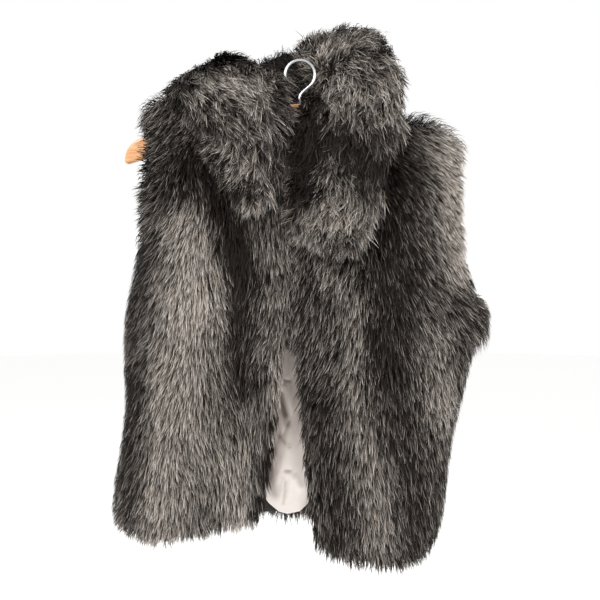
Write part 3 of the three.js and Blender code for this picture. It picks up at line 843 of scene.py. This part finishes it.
def hair_material():
    material, tree = new_material("modacrylic_hair")
    uv = add(tree, "ShaderNodeUVMap", uv_map="UVMap")
    parts = tree.nodes.new("ShaderNodeSeparateXYZ")
    tree.links.new(uv, parts.inputs[0])
    along = parts.outputs["Y"]
    # the tone holds the pelt's bands and random locks, and also painted light and shade
    tone = add(tree, "ShaderNodeAttribute", out="Fac", attribute_name="tone")
    warm = add(tree, "ShaderNodeAttribute", out="Fac", attribute_name="warm")
    dark = ramp(tree, along, (0.0, "#0A0807"), (0.5, "#13100E"), (0.8, "#241F1C"), (1.0, "#4A433D"))
    silver = ramp(tree, along, (0.0, "#16120F"), (0.42, "#3C3631"), (0.7, "#A69E95"), (0.92, "#F4EFE9"))
    blend = add(
        tree, "ShaderNodeMapRange",
        {"Value": tone, "From Min": DARK_TONE, "From Max": SILVER_TONE}, clamp=True,
    )
    colour = add(
        tree, "ShaderNodeMix", {"Factor": blend, "A": dark, "B": silver}, out="Result",
        data_type="RGBA",
    )
    warmed = add(
        tree, "ShaderNodeMix",
        {"Factor": add(tree, "ShaderNodeMath", {0: warm, 1: WARMTH}, operation="MULTIPLY"),
         "A": colour, "B": linear("#C7A98C")},
        out="Result", data_type="RGBA", blend_type="MULTIPLY",
    )
    return surfaced(
        material, {"Base Color": warmed, "Roughness": 0.55, "IOR": 1.5, "Specular IOR Level": 0.12},
    )


hair = hair_material()

# %% Grow the fur on each backing
SLEEK = dict(lift=0.95, stray=0.9, unruly=0.18)  # the panels, combed by their own weight
WILD = dict(lift=1.0, stray=2.1, unruly=0.5)  # the collar, ruffled
LOCKS = {  # count leaves out the loose places, and length, width and tuft are in mm
    "front_right": dict(count=63000, length=27, width=1.0, tuft=3.3, seed=11, **SLEEK),
    "front_left": dict(count=62000, length=25, width=1.0, tuft=3.3, seed=23, **SLEEK),
    "back": dict(count=58000, length=31, width=1.1, tuft=4.2, seed=37, **SLEEK),
    "collar_right": dict(count=37000, length=28, width=1.25, tuft=5, seed=41, **WILD),
    "collar_left": dict(count=37000, length=28, width=1.25, tuft=5, seed=53, **WILD),
}
PULL = 0.7  # how far tips are drawn to the middle of their tuft
SAG = 2 * MM  # how far a tip sinks under its weight
REIN = 12 * MM  # the farthest that a tip may lie past the CAD box
SCRATCH = (  # attributes that only the tree reads, and that the finished mesh does without
    "root", "up", "aim", "height", "dip", "turn", "wide", "bow", "grows", "nap", "pile", "reach",
    "hug", "stand",
)


def set_inputs(modifier, values):
    """Sets a Geometry Nodes modifier's inputs by the identifiers of their sockets."""
    items = modifier.node_group.interface.items_tree
    sockets = {item.name: item.identifier for item in items if item.in_out == "INPUT"}
    for name, value in values.items():
        modifier[sockets[name]] = value


def reined_in(points):
    """Points with the stray tips bent back, so that none lies past the CAD box by more than REIN."""
    low, high = np.array(cad_box[0]), np.array(cad_box[1])
    inside = np.clip(points, low, high)
    return inside + REIN * np.tanh((points - inside) / REIN)


def grown(node, count, length, width, lift, tuft, stray, unruly, seed):
    """The hair of one piece, as a plain mesh."""
    obj = new_object("fur_" + node, backings[node].data.copy())
    modifier = obj.modifiers.new("fur", "NODES")
    modifier.node_group = fur_nodes
    set_inputs(modifier, {
        "Lock": lock, "Material": hair, "Density": count / hairy[node], "Length": length * MM,
        "Lift": lift, "Width": width * MM, "Tuft": tuft * MM, "Pull": PULL,
        "Stray": stray, "Unruly": unruly, "Sag": SAG, "Seed": seed,
    })
    applied(obj)
    set_points(obj.data, reined_in(points_of(obj.data)))
    for name in SCRATCH:
        found = obj.data.attributes.get(name)
        if found:
            obj.data.attributes.remove(found)
    print(obj.name, len(obj.data.vertices) // LOCK_POINTS, "locks")
    return obj


furs = {node: grown(node, **sizes) for node, sizes in LOCKS.items()}
bpy.data.objects.remove(lock)

# %% [markdown]
# ## The backing's finish
#
# Between the locks the eye meets the knitted backing, dyed as dark as the roots, so that a
# parting reads as depth and not as cloth.

# %% Dark warp-knit backing
KNIT_RIB = 1.6 * MM  # the slanting ribs that show lie about seven times this apart


def backing_material():
    material, tree = new_material("warp_knit_backing")
    place = add(tree, "ShaderNodeTexCoord", out="Object")
    loops = add(
        tree, "ShaderNodeTexWave",
        {"Vector": place, "Scale": 1 / (20 * KNIT_RIB), "Distortion": 1.5, "Detail": 1.0},
        out="Fac", bands_direction="DIAGONAL",
    )
    colour = ramp(tree, loops, (0.0, "#0B0908"), (1.0, "#2A241F"))
    bump = add(tree, "ShaderNodeBump", {"Height": loops, "Strength": 0.4, "Distance": 0.4 * MM})
    return surfaced(material, {"Base Color": colour, "Roughness": 0.9, "IOR": 1.5, "Normal": bump})


dyed_backing = backing_material()
for piece in backings.values():
    piece.data.materials.clear()
    piece.data.materials.append(dyed_backing)

# %% [markdown]
# ## The satin lining
#
# Cream polyester satin hangs inside, as wide as the fur but soft, so it falls in shallow
# upright folds. Where it shows in the gap between the fronts it swells forwards and has small
# sharp creases. A cloth simulation would drape it, but these few folds are known, so they are
# drawn as ridges towards the hollow. Each row is a line from one place to another,
# its half width and its height.

# %% Folds of the lining
CREASES = {  # X and Z of both ends, half width and height, all in mm
    "lining_back": [
        (-13, -300, -12, -580, 24, 28.0), (-13, -320, -16, -640, 28, 30.0),
        (-17, -424, -8, -476, 5, 5.0), (-23, -434, -13, -478, 2.6, -4.5),
        (-4, -440, 2, -530, 6, 4.0), (-12, -474, -28, -518, 2.6, -4.0),
        (-26, -514, -42, -580, 3, -4.5), (-20, -516, -34, -584, 6, 4.0),
        (-21, -556, -27, -604, 2.4, 4.0), (-16, -556, -21, -604, 2.6, -3.5),
        (-12, -553, 8, -596, 6, 5.0), (-26, -426, -12, -427, 2.2, -3.5),
        (-20, -550, -13, -551, 3, -4.0),
        (-90, -200, -104, -560, 14, 3.0), (-150, -240, -146, -590, 12, 3.5),
        (60, -220, 76, -600, 13, 3.5), (120, -260, 112, -560, 11, 2.5),
        (170, -300, 176, -600, 14, 3.0), (-190, -320, -186, -590, 10, 2.5),
    ],
    "lining_front_right": [
        (-50, -240, -56, -560, 9, 2.5), (-96, -260, -104, -600, 11, 3.0),
        (-150, -220, -146, -580, 12, 2.5), (-190, -330, -186, -600, 9, 2.0),
    ],
    "lining_front_left": [
        (28, -260, 44, -600, 9, 2.5), (80, -240, 92, -620, 12, 3.0),
        (136, -260, 128, -600, 10, 2.5), (184, -340, 176, -610, 12, 2.0),
    ],
}
PAINTED_SHADE_STROKES = [  # painted shade where the satin lies in folds and in the shadow of the fronts' edges, and how strongly
    (-29, -400, -33, -462, 4, 0.6), (-33, -462, -27, -502, 4, 0.6), (-27, -505, -37, -530, 5, 0.7),
    (-38, -530, -52, -580, 9, 0.9), (-29, -452, -17, -484, 5, 0.7), (-44, -550, -36, -590, 8, 0.6),
    (-26, -444, -19, -472, 3.5, 0.7), (-20, -568, -23, -604, 2.2, 0.35), (-26, -426, -13, -427, 2, 0.7),
    (-22, -508, -14, -514, 2.5, 0.5), (-19, -550, -13, -551, 3, 0.5), (14, -590, 8, -614, 5, 0.4),
    (-13, -478, -22, -500, 2, 0.4),
]
CREASE_FADE = 0.3  # share of a fold's length over which it dies out
CREASE_END = 0.15  # share of a fold's height that is left at its ends
GAP_SHOWN = (-64 * MM, 30 * MM, -360 * MM)  # least and most X, and most Z, of what shows in the gap
GAP_CUTS = 2  # new points on each edge there
LINING_REACH = 100 * MM  # how far up the lift of the hem is felt
HEM_RISE = np.array([  # X and lift of the hem in mm, a rounded tongue in the gap
    (-120, 20), (-58, 42), (-44, 24), (-30, 13), (-18, 10), (0, 13), (12, 24), (22, 30), (80, 20),
]) * MM


def creased(points, rows, side):
    """Points moved towards the hollow where a fold runs. side is -1 for the back, 1 in front."""
    height = np.zeros(len(points))
    for x0, z0, x1, z1, width, high in rows:
        away, share = to_segment(points, (x0 * MM, z0 * MM), (x1 * MM, z1 * MM))
        fade = np.clip(np.minimum(share, 1 - share) / CREASE_FADE, 0, 1)
        fade = CREASE_END + (1 - CREASE_END) * fade ** 2 * (3 - 2 * fade)
        height += high * MM * fade * np.exp(-((away / (width * MM)) ** 2))
    moved = points.copy()
    moved[:, 1] += side * height
    return moved


def finer_in_gap(mesh):
    """Splits the edges that show in the gap, so that narrow creases keep their shape."""
    left, right, top = GAP_SHOWN
    bm = bmesh.new()
    bm.from_mesh(mesh)
    shown = [e for e in bm.edges if all(left < v.co.x < right and v.co.z < top for v in e.verts)]
    bmesh.ops.subdivide_edges(bm, edges=shown, cuts=GAP_CUTS, use_grid_fill=True)
    bm.to_mesh(mesh)
    bm.free()


def lining(node, side):
    """One sheet of the lining with its folds. The back's is the one that shows in the gap."""
    shown = node == "lining_back"
    obj = subdivided(new_object("satin_" + node, welded(node, "satin_" + node)), 2 if shown else 1)
    if shown:
        finer_in_gap(obj.data)
    points = creased(points_of(obj.data), CREASES[node], side)
    if shown:
        rise = np.interp(points[:, 0], HEM_RISE[:, 0], HEM_RISE[:, 1])
        away = points[:, 2] - hem_line(points)(points[:, 0])
        points[:, 2] += drawn_back(away, 1, LINING_REACH) * rise
    set_points(obj.data, points)
    # painted shade in the folds of the gap and along the shadow of the fronts' edges
    browned = stroked(points, PAINTED_SHADE_STROKES if shown else [])
    store(obj.data, "browned", np.clip(browned, 0, 1))
    print(obj.name, len(obj.data.polygons), "faces")
    return obj


linings = {
    "lining_back": lining("lining_back", -1),
    "lining_front_right": lining("lining_front_right", 1),
    "lining_front_left": lining("lining_front_left", 1),
}

# %% Cream polyester satin
STREAK = 0.9 * MM  # the faint upright streaks of the weave lie about six times this apart


def satin_material():
    material, tree = new_material("polyester_satin")
    place = add(tree, "ShaderNodeTexCoord", out="Object")
    threads = add(
        tree, "ShaderNodeTexWave",
        {"Vector": place, "Scale": 1 / (20 * STREAK), "Distortion": 0.6, "Detail": 1.0},
        out="Fac", bands_direction="X",
    )
    cloud = add(tree, "ShaderNodeTexNoise", {"Vector": place, "Scale": 22.0, "Detail": 4.0}, out="Fac")
    colour = ramp(tree, cloud, (0.3, "#E4DAD3"), (0.7, "#F5EEEA"))
    # the satin turns grey-brown where shade is painted into its folds
    browned = add(tree, "ShaderNodeAttribute", out="Fac", attribute_name="browned")
    colour = add(
        tree, "ShaderNodeMix", {"Factor": browned, "A": colour, "B": linear("#7E7066")},
        out="Result", data_type="RGBA",
    )
    gloss = add(
        tree, "ShaderNodeMapRange", {"Value": threads, "To Min": 0.32, "To Max": 0.46},
    )
    bump = add(tree, "ShaderNodeBump", {"Height": threads, "Strength": 0.12, "Distance": 0.15 * MM})
    return surfaced(
        material,
        {"Base Color": colour, "Roughness": gloss, "IOR": 1.5, "Sheen Weight": 0.25, "Normal": bump},
    )


satin = satin_material()
for piece in linings.values():
    piece.data.materials.clear()
    piece.data.materials.append(satin)

# %% [markdown]
# ## The hanger
#
# The bar is beech under a clear varnish, and its grain runs from end to end. The hook is
# drawn steel wire. Both keep their CAD shape and only get a finish.

# %% Varnished beech and drawn steel
GRAIN_WIDTH = 2.2  # mm between the streaks


def beech_material():
    material, tree = new_material("varnished_beech")
    place = add(tree, "ShaderNodeTexCoord", out="Object")
    stretched = add(
        tree, "ShaderNodeMapping", {"Vector": place, "Scale": (0.06, 1.0, 1.0)},
    )
    streaks = add(
        tree, "ShaderNodeTexNoise",
        {"Vector": stretched, "Scale": 1 / (GRAIN_WIDTH * MM), "Detail": 5.0, "Roughness": 0.6}, out="Fac",
    )
    colour = ramp(tree, streaks, (0.3, "#B9783F"), (0.5, "#DBA06A"), (0.72, "#E9B887"))
    bump = add(tree, "ShaderNodeBump", {"Height": streaks, "Strength": 0.15, "Distance": 0.2 * MM})
    return surfaced(
        material,
        {"Base Color": colour, "Roughness": 0.45, "IOR": 1.5, "Coat Weight": 0.5,
         "Coat Roughness": 0.15, "Normal": bump},
    )


def steel_material():
    material, tree = new_material("drawn_steel_wire")
    place = add(tree, "ShaderNodeTexCoord", out="Object")
    scratches = add(tree, "ShaderNodeTexNoise", {"Vector": place, "Scale": 900.0, "Detail": 3.0}, out="Fac")
    gloss = add(tree, "ShaderNodeMapRange", {"Value": scratches, "To Min": 0.2, "To Max": 0.42})
    return surfaced(material, {"Base Color": linear("#C4C5C8"), "Metallic": 1.0, "Roughness": gloss})


def repaint(node, material):
    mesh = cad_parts[node].data
    mesh.materials.clear()
    mesh.materials.append(material)


repaint("hanger_bar", beech_material())
repaint("hanger_hook", steel_material())

# %% [markdown]
# ## Bodies and cloth
#
# Nothing on the vest moves by itself, so every piece rides on the one body.


for node, piece in {**backings, **linings}.items():
    fur = [furs[node]] if node in furs else []
    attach(piece, "root")
    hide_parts(node)
    for hairs in fur:
        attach(hairs, "root")

# %% [markdown]
# ## The studio
#
# A plain pale floor and soft light, as in the photograph: a broad light above and to the
# left of the camera, a weak one to its right, one behind the vest, and a pale world that
# fills the shadows.

# %% Light and floor
WORLD_STRENGTH = 1.0
FLOOR_HEIGHT, FLOOR_RADIUS = -1.1, 9.0
VEST_MIDDLE = Vector((0, 0, -0.3))  # where the lights point
LIGHTS = {  # place, diameter in metres and watts
    "key": ((-0.8, -1.3, 0.9), 0.9, 22),
    "fill": ((1.3, -1.0, 0.2), 1.2, 6),
    "rear": ((0.8, 1.3, 0.8), 1.0, 18),
}

world = bpy.data.worlds.new("studio")
bpy.context.scene.world = world
world.use_nodes = True
world.node_tree.nodes["Background"].inputs["Color"].default_value = linear("#FFFFFF")
world.node_tree.nodes["Background"].inputs["Strength"].default_value = WORLD_STRENGTH
bpy.context.scene.view_settings.view_transform = "Standard"

for name, (place, size, watts) in LIGHTS.items():
    data = bpy.data.lights.new(name, "AREA")
    data.shape = "DISK"
    data.size = size
    data.energy = watts
    light = bpy.data.objects.new(name, data)
    light.location = place
    light.rotation_euler = (VEST_MIDDLE - Vector(place)).to_track_quat("-Z", "Y").to_euler()
    bpy.context.scene.collection.objects.link(light)


def pale_floor():
    bm = bmesh.new()
    bmesh.ops.create_circle(
        bm, cap_ends=True, segments=64, radius=FLOOR_RADIUS,
        matrix=Matrix.Translation((0, 0, FLOOR_HEIGHT)),
    )
    mesh = bpy.data.meshes.new("floor")
    bm.to_mesh(mesh)
    bm.free()
    material, tree = new_material("pale_paper")
    cloud = add(tree, "ShaderNodeTexNoise", {"Scale": 3.0, "Detail": 2.0}, out="Fac")
    colour = ramp(tree, cloud, (0.0, "#FBFBFA"), (1.0, "#FEFEFD"))
    mesh.materials.append(surfaced(material, {"Base Color": colour, "Roughness": 0.9}))
    return new_object("floor", mesh)


pale_floor()
